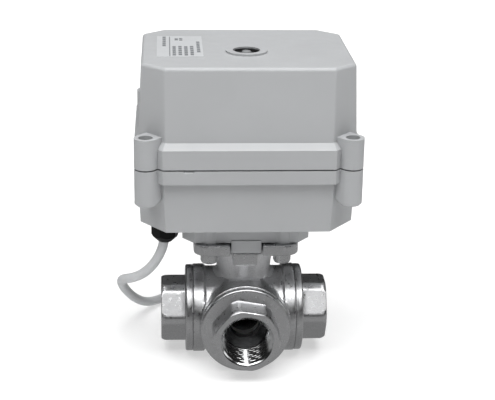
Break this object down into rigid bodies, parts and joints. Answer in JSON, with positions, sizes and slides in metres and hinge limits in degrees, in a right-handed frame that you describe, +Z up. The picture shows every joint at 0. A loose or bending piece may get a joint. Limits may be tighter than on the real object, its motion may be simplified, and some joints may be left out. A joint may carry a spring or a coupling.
{
  "type": "motorized valve actuator",
  "caption": "Three-way threaded ball valve in stainless steel with a quarter-turn electric actuator on its top pad, gear train, limit switches and a cable pigtail",
  "frame": {"origin": "on the bench plane, midway under the object's outline without its cable", "axes": "+Z up along the stem, +X towards the right port, -Y out of the front port"},
  "size_m": [0.0984, 0.1085, 0.1305],
  "materials": {
    "cast_stainless": "fine bead-blasted cast stainless steel",
    "machined_stainless": "turned stainless steel",
    "zinc_steel": "bright screws, axles and posts",
    "housing_grey": "moulded light grey housing, fine matt texture",
    "black_rubber": "black elastomer seals",
    "white_ptfe": "PTFE seats and packing",
    "black_nylon": "black moulded nylon",
    "white_acetal": "white acetal gears and cams",
    "bearing_bronze": "sintered bronze",
    "board_green": "circuit board",
    "terminal_green": "terminal block",
    "relay_blue": "relay case",
    "cable_white": "soft white cable sheath",
    "label_white": "printed label film",
    "spindle_grey": "light grey moulded spindle",
    "lead_blue": "insulated conductors"
  },
  "bodies": {
    "housing": {"base_housing": "housing_grey", "board_pillars": "zinc_steel", "cable": "cable_white", "cable_coil": "cable_white", "cable_leads": "lead_blue", "cable_tie": "black_nylon", "cap_gasket_front": "white_ptfe", "cap_gasket_left": "white_ptfe", "cap_gasket_right": "white_ptfe", "capacitor": "black_nylon", "circuit_board": "board_green", "closed_switch": "black_nylon", "cover": "housing_grey", "cover_screws": "zinc_steel", "cover_seal": "black_rubber", "end_cap_front": "cast_stainless", "end_cap_left": "cast_stainless", "end_cap_right": "cast_stainless", "first_stage_axle": "zinc_steel", "gear_plate": "zinc_steel", "gland_body": "black_nylon", "gland_locknut": "black_nylon", "gland_nut": "black_nylon", "gland_seal": "black_rubber", "label": "label_white", "lower_bush": "bearing_bronze", "motor_can": "zinc_steel", "motor_end_bell": "black_nylon", "mounting_screws": "zinc_steel", "open_switch": "black_nylon", "packing_nut": "machined_stainless", "packing_rings": "white_ptfe", "plate_posts": "zinc_steel", "plate_screws": "zinc_steel", "relay": "relay_blue", "seat_back": "white_ptfe", "seat_front": "white_ptfe", "seat_left": "white_ptfe", "seat_right": "white_ptfe", "second_stage_axle": "zinc_steel", "shaft_seal": "black_rubber", "small_screws": "zinc_steel", "spindle_seal": "black_rubber", "switch_bracket": "zinc_steel", "terminal_block": "terminal_green", "thrust_washer": "white_ptfe", "upper_bush": "bearing_bronze", "valve_body": "cast_stainless"},
    "output": {"output_shaft": "zinc_steel", "gear_key": "zinc_steel", "output_gear": "white_acetal", "lower_cam": "white_acetal", "upper_cam": "white_acetal", "position_spindle": "spindle_grey", "stem": "machined_stainless", "ball": "machined_stainless"},
    "second_stage": {"second_stage_gear": "white_acetal"},
    "first_stage": {"first_stage_gear": "white_acetal"},
    "motor_rotor_group": {"motor_pinion": "bearing_bronze", "motor_rotor": "machined_stainless"}
  },
  "joints": [
    {"name": "output_turn", "type": "hinge", "parent": "housing", "child": "output", "pos_m": [0, -0.00645, 0.0766], "axis": [0, 0, 1], "range_deg": [0, 90]},
    {"name": "second_stage_spin", "type": "hinge", "parent": "housing", "child": "second_stage", "pos_m": [0.01852, 0.01455, 0.0766], "axis": [0, 0, 1], "range_deg": [-331, 1]},
    {"name": "first_stage_spin", "type": "hinge", "parent": "housing", "child": "first_stage", "pos_m": [-0.00183, 0.01888, 0.0836], "axis": [0, 0, 1], "range_deg": [-1, 1101]},
    {"name": "motor_spin", "type": "hinge", "parent": "housing", "child": "motor_rotor_group", "pos_m": [-0.0169, 0.01484, 0.0856], "axis": [0, 0, 1], "range_deg": [-3668, 1]}
  ],
  "couplings": [
    {"joint": "second_stage_spin", "follows": "output_turn", "ratio": -3.6667},
    {"joint": "first_stage_spin", "follows": "output_turn", "ratio": 12.222},
    {"joint": "motor_spin", "follows": "output_turn", "ratio": -40.741}
  ]
}
